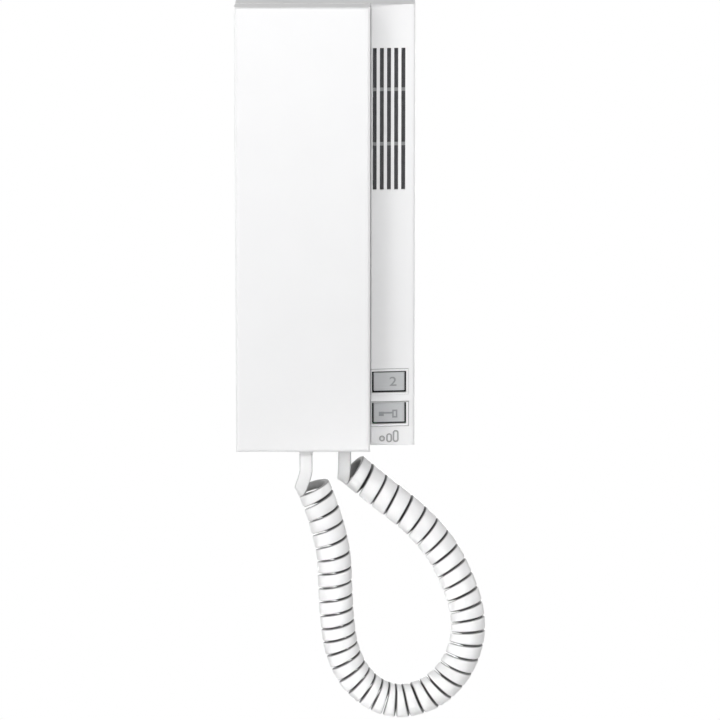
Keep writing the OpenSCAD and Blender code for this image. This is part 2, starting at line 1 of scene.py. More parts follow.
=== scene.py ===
"""Slimline wall station with its handset and curly cord: its looks.

The wall's surface is Y = 0, the front looks towards -Y and Z is up. Blender works in metres; sizes
that are written in millimetres are turned into metres with MM.
"""
import json
import math

import bmesh
import bpy
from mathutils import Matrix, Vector


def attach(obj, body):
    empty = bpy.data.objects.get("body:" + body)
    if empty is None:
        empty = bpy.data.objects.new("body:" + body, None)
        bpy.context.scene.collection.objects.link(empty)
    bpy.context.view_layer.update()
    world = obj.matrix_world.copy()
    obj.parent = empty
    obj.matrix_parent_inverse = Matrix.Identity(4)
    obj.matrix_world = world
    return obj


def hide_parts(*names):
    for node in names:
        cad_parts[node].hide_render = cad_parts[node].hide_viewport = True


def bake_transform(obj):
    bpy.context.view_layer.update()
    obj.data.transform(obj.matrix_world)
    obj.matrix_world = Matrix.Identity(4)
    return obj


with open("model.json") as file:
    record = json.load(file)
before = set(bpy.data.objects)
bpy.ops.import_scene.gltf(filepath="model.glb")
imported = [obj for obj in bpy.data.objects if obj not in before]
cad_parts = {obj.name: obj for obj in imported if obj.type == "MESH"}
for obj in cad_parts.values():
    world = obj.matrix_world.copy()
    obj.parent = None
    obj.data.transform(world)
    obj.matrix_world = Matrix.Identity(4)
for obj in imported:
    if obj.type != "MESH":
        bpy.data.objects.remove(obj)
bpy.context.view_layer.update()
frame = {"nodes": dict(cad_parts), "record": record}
MM = 0.001


# ---------- camera ----------

EYE = (0.0164, -2, 0.2909)
LOOK_DOWN = 10.18
LENS = 210.3
SENSOR = 36


def place_camera():
    """A long lens a little above the middle of the station, looking straight at its front."""
    data = bpy.data.cameras.new("camera")
    data.lens = LENS
    data.sensor_width = SENSOR
    data.clip_start = 0.1
    data.clip_end = 20
    eye = bpy.data.objects.new("camera", data)
    eye.location = EYE
    eye.rotation_euler = (math.radians(90 - LOOK_DOWN), 0, 0)
    bpy.context.scene.collection.objects.link(eye)
    bpy.context.scene.camera = eye


place_camera()


# ---------- cord, in millimetres ----------

CORD_WIDTH = 6.2
CORD_THICK = 2.4
CORD_CORNER = 0.8
CORNER_STEPS = 3

# The coil: the cord's middle lies on COIL_RADIUS, and no turn is wider than COIL_SPREAD cords.
COIL_RADIUS = 7
COIL_TURNS = 42.5
COIL_SPREAD = 1.22
TURN_GAP = 0.68
RINGS_PER_TURN = 32
COIL_AXIS = [Vector(p) for p in (
    (-6, -26, -125), (-0.5, -26, -140), (3.5, -26, -157.5), (4.5, -26, -174.5),
    (5.5, -26, -191), (8, -25.5, -206), (14.5, -25, -219.5), (25, -24, -228.5),
    (37, -23, -231.5), (51, -22, -227.5), (62, -21, -217), (68, -20, -202.5),
    (68, -18, -188), (63, -16, -172.5), (54.5, -14, -157), (42.5, -13, -143.5),
    (27, -12, -131), (13, -12, -119.5))]

# The straight tails leave the reliefs, and curved leads join them to the coil.
HANDSET_EXIT = Vector((-9.4, -31, -106))
BASE_EXIT = Vector((9, -14, -106))
GLAND_OUT = 2
TAIL_Z = -110
TAIL_STEPS = 6
LEAD_Z = TAIL_Z - CORD_WIDTH
LEAD_PULL = 7
LEAD_STEPS = 24
DOWN, UP = Vector((0, 0, -1)), Vector((0, 0, 1))
LEFT, RIGHT = Vector((-1, 0, 0)), Vector((1, 0, 0))

# Painted shade: the jacket's colour is dark up to SHADE_FROM of its thickness and clear from
# SHADE_TO, where 0 is the coil's inside. Light reaches into its open end turns, so there the
# painted shade is lifted by MOUTH_CLEAR.
SHADE_FROM = 0.8
SHADE_TO = 0.99
# How dark the painted shade is, as a share of the jacket's colour.
SHADE_TONE = 0.12
MOUTH_CLEAR = 0.5


def axis_at(turn):
    """The coil's axis after so many turns: a smooth curve, two and a half turns to a point."""
    last = len(COIL_AXIS) - 1
    along = turn * last / COIL_TURNS
    i = min(int(along), last - 1)
    t = along - i
    a, b, c, d = (COIL_AXIS[max(0, min(last, i + k))] for k in (-1, 0, 1, 2))
    return 0.5 * (2 * b + (c - a) * t + (2 * a - 5 * b + 4 * c - d) * t ** 2
                  + (3 * b - a - 3 * c + d) * t ** 3)


def coil_ring(turn):
    """One ring of the coil: centre, direction across the cord, outward direction and width.

    A turn is as wide as its neighbours leave room for, so it narrows on the inside of a bend.
    """
    first, last = max(0.0, turn - 0.5), min(COIL_TURNS, turn + 0.5)
    centre, before, after = axis_at(turn), axis_at(first), axis_at(last)
    ahead = (after - before).normalized()
    pitch = (after - before).length / (last - first)
    bend = Vector()
    away_from_the_ends = last - first > 0.999
    if away_from_the_ends:
        bend = ((after - centre).normalized() - (centre - before).normalized()) / (pitch / 2)
    back = (Vector((0, 1, 0)) - ahead.y * ahead).normalized()
    angle = 2 * math.pi * turn
    out = math.cos(angle) * back.cross(ahead) + math.sin(angle) * back
    room = pitch * (1 - COIL_RADIUS * bend.dot(out))
    return centre + COIL_RADIUS * out, ahead, out, min(CORD_WIDTH * COIL_SPREAD, room - TURN_GAP)


def lead_rings(start, start_pull, start_across, end, end_pull, end_across):
    """Rings of a cubic between a straight tail and the coil."""
    def at(t):
        return ((2 * t ** 3 - 3 * t ** 2 + 1) * start + (t ** 3 - 2 * t ** 2 + t) * start_pull
                + (3 * t ** 2 - 2 * t ** 3) * end + (t ** 3 - t ** 2) * end_pull)
    rings = []
    for k in range(LEAD_STEPS + 1):
        t = k / LEAD_STEPS
        ahead = (at(t + 0.01) - at(t - 0.01)).normalized()
        mixed = (1 - t) * start_across + t * end_across
        across = (mixed - mixed.dot(ahead) * ahead).normalized()
        rings.append((at(t), across, ahead.cross(across), CORD_WIDTH))
    return rings


def tail_rings(exit_at, across):
    """Straight rings from inside a relief down to where the lead begins."""
    top = exit_at.z - GLAND_OUT
    return [(Vector((exit_at.x, exit_at.y, top + (LEAD_Z - top) * k / TAIL_STEPS)), across,
             Vector((0, -1, 0)), CORD_WIDTH) for k in range(TAIL_STEPS)]


def cord_run():
    """Every ring of the cord, from the handset's relief to the base's, and where its coil lies."""
    coil_steps = int(COIL_TURNS * RINGS_PER_TURN)
    coil = [coil_ring(k / RINGS_PER_TURN) for k in range(coil_steps + 1)]
    into, into_across, into_out, _ = coil[0]
    leave, leave_across, leave_out, _ = coil[-1]
    start = Vector((HANDSET_EXIT.x, HANDSET_EXIT.y, LEAD_Z))
    end = Vector((BASE_EXIT.x, BASE_EXIT.y, LEAD_Z))
    lead_in = lead_rings(start, DOWN * LEAD_PULL, RIGHT,
                         into, into_across.cross(into_out) * LEAD_PULL, into_across)
    lead_out = lead_rings(leave, leave_across.cross(leave_out) * LEAD_PULL, leave_across,
                          end, UP * LEAD_PULL, LEFT)
    opening = tail_rings(HANDSET_EXIT, RIGHT) + lead_in[:-1]
    closing = lead_out[1:] + tail_rings(BASE_EXIT, LEFT)[::-1]
    return opening + coil + closing, len(opening), len(opening) + coil_steps


def flat_section(width):
    """The rounded outline of the flat cord, as points across it and outwards."""
    points = []
    for side, face, start in ((1, 1, 0), (-1, 1, 90), (-1, -1, 180), (1, -1, 270)):
        for k in range(CORNER_STEPS + 1):
            a = math.radians(start + 90 * k / CORNER_STEPS)
            points.append((side * (width / 2 - CORD_CORNER) + CORD_CORNER * math.cos(a),
                           face * (CORD_THICK / 2 - CORD_CORNER) + CORD_CORNER * math.sin(a)))
    return points


def make_cord():
    """One unbroken flat tube; its UV map runs along the cord and outwards through it."""
    rings, first, last = cord_run()
    bm = bmesh.new()
    uv = bm.loops.layers.uv.new("UVMap")
    loops = []
    for centre, across, out, width in rings:
        loops.append([bm.verts.new((centre + across * x + out * y) * MM)
                      for x, y in flat_section(width)])
    outward = [y / CORD_THICK + 0.5 for _, y in flat_section(CORD_WIDTH)]
    count = len(outward)
    run = 0.0
    for k in range(len(loops) - 1):
        step = (rings[k + 1][0] - rings[k][0]).length
        # In the end turns the outward value is raised, so the painted shade there is lighter.
        in_end_turn = max(0, 1 - max(0, min(k - first, last - k)) / RINGS_PER_TURN)
        lift = SHADE_FROM + (SHADE_TO - SHADE_FROM) * MOUTH_CLEAR * in_end_turn
        for j in range(count):
            i = (j + 1) % count
            face = bm.faces.new((loops[k][j], loops[k + 1][j], loops[k + 1][i], loops[k][i]))
            face.smooth = True
            for corner, (u, v) in zip(face.loops, (
                    (run, j), (run + step, j), (run + step, i), (run, i))):
                corner[uv].uv = (u * MM, max(outward[v], lift))
        run += step
    bm.faces.new(loops[0])
    bm.faces.new(loops[-1][::-1])
    bmesh.ops.recalc_face_normals(bm, faces=bm.faces)
    mesh = bpy.data.meshes.new("curly_cord_jacket")
    bm.to_mesh(mesh)
    bm.free()
    cord = bpy.data.objects.new("curly_cord_jacket", mesh)
    bpy.context.scene.collection.objects.link(cord)
    path = [tuple(ring[0] * MM) for ring in rings]
    return cord, path, run * MM


def share_along(cord, path_count):
    """Works out weights along the cord's length, eased from its start to its end; the cord is not
    given them.
    """
    per_ring = len(cord.data.vertices) // path_count
    weights = []
    for k in range(path_count):
        t = k / (path_count - 1)
        weights += [t * t * (3 - 2 * t)] * per_ring


cord, cord_path, cord_length = make_cord()
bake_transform(cord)
share_along(cord, len(cord_path))
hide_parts("handset_tail", "curly_cord", "base_tail")


# ---------- light ----------

WORLD_LIGHT = 0.1


def lamp(name, power, size, place, aim, spread=180):
    """A rectangular lamp: its watts, its width and height, where it stands and what it looks at."""
    data = bpy.data.lights.new(name, "AREA")
    data.shape = "RECTANGLE"
    data.size, data.size_y = size
    data.energy = power
    data.spread = math.radians(spread)
    made = bpy.data.objects.new(name, data)
    made.location = place
    made.rotation_euler = (Vector(aim) - Vector(place)).to_track_quat("-Z", "Y").to_euler()
    bpy.context.scene.collection.objects.link(made)


def seen_itself(tree):
    """1 where the eye, a reflection or clear glass looks at a thing, and 0 where it gives light."""
    path = tree.nodes.new("ShaderNodeLightPath")
    total = path.outputs["Is Camera Ray"]
    for kind in ("Is Glossy Ray", "Is Transmission Ray"):
        both = tree.nodes.new("ShaderNodeMath")
        both.operation = "ADD"
        both.use_clamp = True
        tree.links.new(total, both.inputs[0])
        tree.links.new(path.outputs[kind], both.inputs[1])
        total = both.outputs[0]
    return total


def white_background(tree, strength):
    """Even white at a strength."""
    background = tree.nodes.new("ShaderNodeBackground")
    background.inputs["Color"].default_value = (1, 1, 1, 1)
    background.inputs["Strength"].default_value = strength
    return background.outputs[0]


def light_world(ambient):
    """White to the eye and in reflections, softer as a light."""
    world = bpy.data.worlds.new("studio")
    world.use_nodes = True
    tree = world.node_tree
    tree.nodes.clear()
    mix = tree.nodes.new("ShaderNodeMixShader")
    out = tree.nodes.new("ShaderNodeOutputWorld")
    tree.links.new(seen_itself(tree), mix.inputs["Fac"])
    tree.links.new(white_background(tree, ambient), mix.inputs[1])
    tree.links.new(white_background(tree, 1), mix.inputs[2])
    tree.links.new(mix.outputs[0], out.inputs["Surface"])
    bpy.context.scene.world = world


bpy.context.scene.view_settings.view_transform = "Standard"
light_world(WORLD_LIGHT)
lamp("key_light", 1.58, (0.4, 0.4), (-0.15, -0.5, 0.3), (0, -0.03, 0.05))
lamp("fill_light", 2.65, (0.6, 0.6), (0.3, -0.8, 0.2), (0, -0.03, 0))
lamp("low_light", 1.5, (0.3, 0.3), (-0.4, -0.6, -0.25), (0, -0.03, -0.18))
lamp("cord_light", 0.0225, (0.08, 0.08), (0.02, -0.7, -0.4), (0.035, -0.02, -0.2), spread=19)
lamp("left_side_light", 1.8, (0.4, 0.3), (-0.9, 0.22, 0), (0, -0.02, -0.04))
lamp("right_side_light", 1.8, (0.4, 0.3), (0.9, 0.22, 0), (0, -0.02, -0.04))
lamp("under_light", 1.15, (0.4, 0.4), (-0.15, -0.08, -0.8), (0, -0.03, -0.1))
lamp("back_light", 3, (0.4, 0.3), (0.1, 0.9, -0.15), (0, 0, -0.05))


# ---------- finishes: grain in cycles a metre, depth of a bump in metres ----------

def start_finish(name, colour, roughness, metallic=0.0):
    """A finish with its plain values on the shader: material, node tree and shader."""
    material = bpy.data.materials.new(name)
    material.use_nodes = True
    tree = material.node_tree
    shader = tree.nodes["Principled BSDF"]
    shader.inputs["Base Color"].default_value = (*colour, 1)
    shader.inputs["Roughness"].default_value = roughness
    shader.inputs["Metallic"].default_value = metallic
    return material, tree, shader


def object_grain(tree, scale, stretch=(1, 1, 1), detail=3.0):
    """Noise fixed to the piece."""
    where = tree.nodes.new("ShaderNodeTexCoord")
    place = tree.nodes.new("ShaderNodeMapping")
    place.inputs["Scale"].default_value = stretch
    noise = tree.nodes.new("ShaderNodeTexNoise")
    noise.inputs["Scale"].default_value = scale
    noise.inputs["Detail"].default_value = detail
    tree.links.new(where.outputs["Object"], place.inputs["Vector"])
    tree.links.new(place.outputs["Vector"], noise.inputs["Vector"])
    return noise.outputs["Fac"]


def tint_by(tree, shader, pattern, dark, light):
    """The colour goes from dark to light with a pattern."""
    ramp = tree.nodes.new("ShaderNodeValToRGB")
    ramp.color_ramp.interpolation = "EASE"
    ramp.color_ramp.elements[0].color = (*dark, 1)
    ramp.color_ramp.elements[1].color = (*light, 1)
    tree.links.new(pattern, ramp.inputs["Fac"])
    tree.links.new(ramp.outputs["Color"], shader.inputs["Base Color"])


def gloss_by(tree, shader, pattern, low, high):
    """The roughness goes from low to high with a pattern."""
    spread = tree.nodes.new("ShaderNodeMapRange")
    spread.interpolation_type = "SMOOTHSTEP"
    spread.inputs["To Min"].default_value = low
    spread.inputs["To Max"].default_value = high
    tree.links.new(pattern, spread.inputs["Value"])
    tree.links.new(spread.outputs["Result"], shader.inputs["Roughness"])


def raise_by(tree, shader, pattern, depth):
    """A bump from a pattern."""
    bump = tree.nodes.new("ShaderNodeBump")
    bump.inputs["Strength"].default_value = 1
    bump.inputs["Distance"].default_value = depth
    tree.links.new(pattern, bump.inputs["Height"])
    tree.links.new(bump.outputs["Normal"], shader.inputs["Normal"])


def shade_of(colour, factor):
    """A colour made darker, or lighter with a factor over 1."""
    return tuple(c * factor for c in colour)


def moulded(name, colour, roughness, grain, depth, unevenness=0.04):
    """Moulded plastic: a fine grain all over and slow changes in tone and gloss."""
    material, tree, shader = start_finish(name, colour, roughness)
    slow = object_grain(tree, 60, detail=2)
    tint_by(tree, shader, slow, shade_of(colour, 1 - unevenness), colour)
    gloss_by(tree, shader, slow, roughness * 0.85, roughness * 1.15)
    raise_by(tree, shader, object_grain(tree, grain), depth)
    return material


def plated_steel(name, colour):
    """Zinc plate: metal with fine drawn lines and cloudy patches."""
    material, tree, shader = start_finish(name, colour, 0.32, metallic=1.0)
    clouds = object_grain(tree, 400, detail=4)
    tint_by(tree, shader, clouds, shade_of(colour, 0.82), colour)
    gloss_by(tree, shader, clouds, 0.24, 0.42)
    raise_by(tree, shader, object_grain(tree, 900, stretch=(1, 1, 12)), 0.00002)
    return material


def ferrite(name, colour):
    """Pressed ferrite: dull dark grey with fine glinting specks."""
    material, tree, shader = start_finish(name, colour, 0.6)
    specks = object_grain(tree, 2600, detail=6)
    tint_by(tree, shader, specks, shade_of(colour, 0.6), shade_of(colour, 1.25))
    gloss_by(tree, shader, specks, 0.45, 0.7)
    raise_by(tree, shader, specks, 0.00004)
    return material


def pressed_paper(name, colour):
    """Paper cone: short felted fibres."""
    material, tree, shader = start_finish(name, colour, 0.85)
    fibres = object_grain(tree, 1500, stretch=(1, 0.3, 1), detail=8)
    tint_by(tree, shader, fibres, shade_of(colour, 0.6), shade_of(colour, 1.5))
    raise_by(tree, shader, fibres, 0.00012)
    shader.inputs["Sheen Weight"].default_value = 0.2
    return material


def resist(name, colour):
    """Green solder resist with paler tracks raised under it."""
    material, tree, shader = start_finish(name, colour, 0.3)
    where = tree.nodes.new("ShaderNodeTexCoord")
    turn = tree.nodes.new("ShaderNodeMapping")
    turn.inputs["Rotation"].default_value = (math.radians(90), 0, 0)
    tracks = tree.nodes.new("ShaderNodeTexBrick")
    tracks.inputs["Scale"].default_value = 130
    tracks.inputs["Mortar Size"].default_value = 0.06
    tracks.inputs["Color1"].default_value = (*colour, 1)
    tracks.inputs["Color2"].default_value = (*shade_of(colour, 0.9), 1)
    tracks.inputs["Mortar"].default_value = (*shade_of(colour, 1.7), 1)
    tree.links.new(where.outputs["Object"], turn.inputs["Vector"])
    tree.links.new(turn.outputs["Vector"], tracks.inputs["Vector"])
    tree.links.new(tracks.outputs["Color"], shader.inputs["Base Color"])
    raise_by(tree, shader, tracks.outputs["Fac"], 0.00004)
    return material


def tube_glass(name, colour):
    """Green reed-switch glass with faint draw lines."""
    material, tree, shader = start_finish(name, colour, 0.05)
    shader.inputs["Transmission Weight"].default_value = 1.0
    shader.inputs["IOR"].default_value = 1.5
    lines = object_grain(tree, 500, stretch=(0.1, 1, 1))
    gloss_by(tree, shader, lines, 0.02, 0.09)
    raise_by(tree, shader, lines, 0.00001)
    return material


def flocked(name, colour):
    """Flocked strip: short dull fibres that give back almost no light."""
    material, tree, shader = start_finish(name, colour, 0.95)
    shader.inputs["Specular IOR Level"].default_value = 0.1
    fibres = object_grain(tree, 3500, detail=5)
    tint_by(tree, shader, fibres, shade_of(colour, 0.5), shade_of(colour, 1.4))
    raise_by(tree, shader, fibres, 0.00006)
    return material


def woven_cloth(name, colour):
    """Acoustic cloth: uneven threads, paler where they rise."""
    material, tree, shader = start_finish(name, colour, 0.8)
    threads = object_grain(tree, 1800, stretch=(1, 1, 0.25), detail=4)
    tint_by(tree, shader, threads, shade_of(colour, 0.7), shade_of(colour, 1.5))
    raise_by(tree, shader, threads, 0.00005)
    shader.inputs["Sheen Weight"].default_value = 0.3
    return material


def cord_jacket(name, colour):
    """Soft jacket: a fine grain, and painted shade in towards the coil's inside."""
    material, tree, shader = start_finish(name, colour, 0.38)
    where = tree.nodes.new("ShaderNodeTexCoord")
    parts = tree.nodes.new("ShaderNodeSeparateXYZ")
    tree.links.new(where.outputs["UV"], parts.inputs["Vector"])
    depth = tree.nodes.new("ShaderNodeValToRGB")
    shade, clear = depth.color_ramp.elements
    shade.position, shade.color = SHADE_FROM, (*shade_of(colour, SHADE_TONE), 1)
    clear.position, clear.color = SHADE_TO, (*colour, 1)
    tree.links.new(parts.outputs["Y"], depth.inputs["Fac"])
    tree.links.new(depth.outputs["Color"], shader.inputs["Base Color"])
    grain = object_grain(tree, 700)
    gloss_by(tree, shader, grain, 0.3, 0.46)
    raise_by(tree, shader, grain, 0.00002)
    return material


WHITE = (0.93, 0.93, 0.935)
KEY_GREY = (0.56, 0.57, 0.58)
# The moulded finishes give their roughness, grain, depth and, where it isn't usual, unevenness.
FINISHES = {
    "white_gloss": moulded("gloss_white_shell", WHITE, 0.32, 900, 0.000008, 0.012),
    "inner_plastic": moulded("matt_back_moulding", (0.86, 0.86, 0.85), 0.5, 2500, 0.00003),
    "grey_key": moulded("satin_grey_key", KEY_GREY, 0.42, 3200, 0.00002),
    "ivory_plastic": moulded("ivory_plunger", (0.85, 0.82, 0.72), 0.35, 2400, 0.00001),
    "black_plastic": moulded("fine_matt_black", (0.04, 0.04, 0.045), 0.5, 3000, 0.00003, 0.3),
    "cord_plastic": cord_jacket("soft_cord_jacket_painted_shade", (0.92, 0.92, 0.92)),
    "gauze": woven_cloth("acoustic_cloth", (0.09, 0.09, 0.095)),
    "cone_paper": pressed_paper("felted_cone", (0.05, 0.05, 0.05)),
    "steel": plated_steel("zinc_plate", (0.68, 0.69, 0.7)),
    "magnet": ferrite("pressed_ferrite", (0.2, 0.2, 0.21)),
    "board": resist("green_board", (0.05, 0.22, 0.1)),
    "terminal_plastic": moulded("green_terminal", (0.1, 0.42, 0.2), 0.4, 2800, 0.00002, 0.1),
    "reed_glass": tube_glass("green_glass", (0.6, 0.75, 0.62)),
    "black_rubber": moulded("matt_rubber", (0.03, 0.03, 0.03), 0.75, 2000, 0.00005, 0.3),
}
LEGEND_GREY = moulded("engraved_legend", (0.31, 0.32, 0.33), 0.55, 3200, 0.00002)
# Painted shade: mid grey on the walls of the seams round the key windows and of the volume sign's
# sunk outlines.
SEAM_PAINTED_SHADE_GREY = moulded("grey_painted_seam_shade", (0.5, 0.5, 0.5), 0.6, 3200, 0.00002)
# Painted shade: the grille frame's grey is darker than its own key grey, for its place deep behind
# the slots.
GRILLE_GREY_PAINTED_SHADE = moulded("grey_grille_frame_painted_shade", (0.33, 0.335, 0.34), 0.5, 3200, 0.00002)
# Painted shade: near-black strips laid in the gaps round the keys to darken them.
KEY_GAP_SHADE_BLACK = flocked("flocked_dust_seal", (0.012, 0.012, 0.013))
GLAND_WHITE = moulded("cord_relief_moulding", (0.9, 0.9, 0.9), 0.4, 2200, 0.00002)

for part in frame["record"]["subparts"]:
    node = frame["nodes"][part["node"]]
    node.data.materials.clear()
    node.data.materials.append(FINISHES[part["material_slot"]])
# The grille frame takes the grey with painted shade in place of its slot's key grey.
frame["nodes"]["grille_frame"].data.materials[0] = GRILLE_GREY_PAINTED_SHADE
cord.data.materials.append(FINISHES["cord_plastic"])


# ---------- making pieces, in millimetres ----------

PANEL_X = 21.6
PANEL_FRONT = -23
PANEL_FALL = 0.12183
MERGE_WITHIN = 0.002
FLAT_WITHIN = math.radians(1)
SHARP_FROM = math.radians(30)


def panel_y(x):
    """The front of the side panel, which falls back to the right."""
    return PANEL_FRONT + (x - PANEL_X) * PANEL_FALL


def add_piece(name, bm, body, materials):
    """A finished piece in metres, riding on a body and with the finishes given."""
    bmesh.ops.scale(bm, vec=(MM, MM, MM), verts=bm.verts)
    bmesh.ops.recalc_face_normals(bm, faces=bm.faces)
    mesh = bpy.data.meshes.new(name)
    bm.to_mesh(mesh)
    bm.free()
    piece = bpy.data.objects.new(name, mesh)
    bpy.context.scene.collection.objects.link(piece)
    for material in materials:
        mesh.materials.append(material)
    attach(piece, body)
    return piece


def merged_copy(node):
    """A node's shape in millimetres, with its doubles merged and its flat faces whole."""
    bm = bmesh.new()
    bm.from_mesh(frame["nodes"][node].data)
    bmesh.ops.scale(bm, vec=(1 / MM, 1 / MM, 1 / MM), verts=bm.verts)
    bmesh.ops.remove_doubles(bm, verts=bm.verts, dist=MERGE_WITHIN)
    bmesh.ops.dissolve_limit(bm, angle_limit=FLAT_WITHIN, verts=bm.verts, edges=bm.edges)
    return bm


def soften(bm, offset, segments, wanted):
    """Rounds over the sharp edges that the wanted test picks."""
    edges = [e for e in bm.edges if len(e.link_faces) == 2
             and e.calc_face_angle() > SHARP_FROM and wanted(e)]
    bmesh.ops.bevel(bm, geom=edges, offset=offset, segments=segments, profile=0.5,
                    affect="EDGES", material=-1, clamp_overlap=True)


def cut_out(bm, cutters, finishes):
    """Cuts closed shapes out of a piece; their walls take the second finish."""
    work = bpy.data.meshes.new("work")
    bm.to_mesh(work)
    bm.free()
    held = bpy.data.objects.new("work", work)
    bpy.context.scene.collection.objects.link(held)
    for finish in finishes:
        work.materials.append(finish)
    tools = []
    for cutter in cutters:
        mesh = bpy.data.meshes.new("cutter")
        cutter.to_mesh(mesh)
        cutter.free()
        for finish in finishes:
            mesh.materials.append(finish)
        mesh.polygons.foreach_set("material_index", [1] * len(mesh.polygons))
        tool = bpy.data.objects.new("cutter", mesh)
        bpy.context.scene.collection.objects.link(tool)
        tools.append(tool)
        step = held.modifiers.new("cut", "BOOLEAN")
        step.operation, step.solver, step.object = "DIFFERENCE", "EXACT", tool
    whole = held.evaluated_get(bpy.context.evaluated_depsgraph_get())
    result = bmesh.new()
    result.from_mesh(whole.to_mesh())
    for used in [held] + tools:
        bpy.data.objects.remove(used)
    return result


def thicken(bm, near, far):
    """Makes a flat shape a closed solid, from near to far behind the panel's sloping front."""
    grown = bmesh.ops.extrude_face_region(bm, geom=bm.faces[:])["geom"]
    deep = {v for v in grown if isinstance(v, bmesh.types.BMVert)}
    for v in bm.verts:
        v.co.y = panel_y(v.co.x) + (far if v in deep else near)
    bmesh.ops.recalc_face_normals(bm, faces=bm.faces)
    return bm


def block(x0, x1, z0, z1, near, far):
    """A closed block between these sides, from near to far behind the panel's front."""
    bm = bmesh.new()
    bmesh.ops.create_cube(bm, size=1)
    for v in bm.verts:
        x = x1 if v.co.x > 0 else x0
        v.co = (x, panel_y(x) + (far if v.co.y > 0 else near), z1 if v.co.z > 0 else z0)
    return bm


def frame_bar(x0, x1, z0, z1, line, near, far):
    """A square-cornered frame; line gives how wide its left, right, bottom and top bars are."""
    left, right, bottom, top = line
    columns = (x0, x0 + left, x1 - right, x1)
    rows = (z0, z0 + bottom, z1 - top, z1)
    bm = bmesh.new()
    bmesh.ops.create_grid(bm, x_segments=3, y_segments=3, size=0.5)
    middle = [f for f in bm.faces if f.calc_center_median().length < 0.1]
    bmesh.ops.delete(bm, geom=middle, context="FACES")
    for v in bm.verts:
        v.co = (columns[round((v.co.x + 0.5) * 3)], 0, rows[round((v.co.y + 0.5) * 3)])
    return thicken(bm, near, far)


def capsule(x, low, high, half, near, far):
    """A closed round-ended block, half its width to each side of x."""
    bm = bmesh.new()
    verts = bmesh.ops.create_circle(bm, cap_ends=True, segments=24, radius=half)["verts"]
    for v in verts:
        v.co = (x + v.co.x, 0, (high - half if v.co.y > 0 else low + half) + v.co.y)
    return thicken(bm, near, far)


# ---------- keys ----------

KEY_PROUD = 0.4
KEY_CAP_FRONT = -18.6
KEY_ROUND = 0.3
LEGEND_DEPTH = 0.2
CUT_FROM = -KEY_PROUD - 1
CUT_TO = -KEY_PROUD + LEGEND_DEPTH
NUMERAL_BOLD = 0.06
# A numeral that is 1 high has this text size.
NUMERAL_SIZE = 1.38
# The pictogram's bit, shaft and bow, each from left to right and from bottom to top.
KEY_BIT = (25.4, 27.8, -91.4, -89.3)
KEY_SHAFT = (27.3, 32, -90.3, -89.45)
KEY_BOW = (31.8, 34.3, -92.3, -88.4)
KEY_BOW_LINE = (0.75, 0.75, 0.75, 0.75)
# The black strips of painted shade in the key gaps: their left and right ends, and how far behind
# the panel's front they lie.
KEY_GAP_SHADE_X = (22.2, 38.4)
KEY_GAP_SHADE_Y = (1, 2.4)


def numeral(text, x, z, height, widen):
    """A cutter in the shape of a number, standing in the key's face."""
    curve = bpy.data.curves.new("numeral", "FONT")
    curve.body, curve.size, curve.extrude = text, height * NUMERAL_SIZE, 0.6
    curve.align_x, curve.align_y = "CENTER", "CENTER"
    curve.offset = NUMERAL_BOLD
    letter = bpy.data.objects.new("numeral", curve)
    bpy.context.scene.collection.objects.link(letter)
    bpy.context.view_layer.update()
    bm = bmesh.new()
    bm.from_mesh(letter.evaluated_get(bpy.context.evaluated_depsgraph_get()).to_mesh())
    bpy.data.objects.remove(letter)
    bmesh.ops.remove_doubles(bm, verts=bm.verts, dist=0.0005)
    for v in bm.verts:
        across = x + v.co.x * widen
        depth = LEGEND_DEPTH if v.co.z < 0 else -1
        v.co = (across, panel_y(across) - KEY_PROUD + depth, z + v.co.y)
    bmesh.ops.recalc_face_normals(bm, faces=bm.faces)
    return bm


def make_key(node, cutters):
    """A key with the edges of its cap rounded and its legend cut in."""
    bm = merged_copy(node)
    soften(bm, KEY_ROUND, 3, lambda e: min(v.co.y for v in e.verts) < KEY_CAP_FRONT)
    finishes = [FINISHES["grey_key"], LEGEND_GREY]
    bm = cut_out(bm, cutters, finishes)
    piece = add_piece(node + "_moulding", bm, node, finishes)
    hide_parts(node)


def make_key_gap_shade(key, z0, z1, line):
    """A black strip lying in the gap round a key, on the key's flange: painted shade that darkens
    the gap.
    """
    bm = frame_bar(*KEY_GAP_SHADE_X, z0, z1, line, *KEY_GAP_SHADE_Y)
    add_piece(key + "_seal", bm, key, [KEY_GAP_SHADE_BLACK])


# The pictogram's shapes start and end a little off each other, so that no two faces coincide.
make_key("function_key", [numeral("2", x=32.2, z=-74.9, height=4.5, widen=1.2)])
make_key("door_key", [
    block(*KEY_BIT, CUT_FROM, CUT_TO),
    block(*KEY_SHAFT, CUT_FROM - 0.1, CUT_TO - 0.02),
    frame_bar(*KEY_BOW, KEY_BOW_LINE, CUT_FROM - 0.2, CUT_TO + 0.02)])
make_key_gap_shade("function_key", -79.95, -69.85, (0.72, 0.72, 0.87, 0.47))
make_key_gap_shade("door_key", -94.75, -84.95, (0.72, 0.72, 0.47, 0.05))


# ---------- housing ----------

# The windows' rims: bottom, top, width of the fine seam round them and of the seam's top bar.
RIMS = ((-81.1, -68.7, 0.1, 0.2), (-96.3, -84.65, 0.3, 0.35))
RIM_LEFT = 21.0
RIM_RIGHT = 39.5
SEAM_LEFT_LINE = 0.75
SEAM_Y = (-0.6, 1.2)
FRONT_X = 22
FRONT_Y = (-0.4, 0.08)
FRONT_ROUND = 0.14
# The volume sign's rising marks: middle, bottom, top and half of the width.
SIGN = ((26.95, -103.9, -101, 1.45), (30.35, -104.4, -100, 1.45), (33.5, -104.4, -98.4, 1.45))
SIGN_LINE = 0.75
SIGN_CUT_Y = (-0.5, 1)
SIGN_MARK_Y = (-0.25, 1)
SIGN_ROUND = 0.15


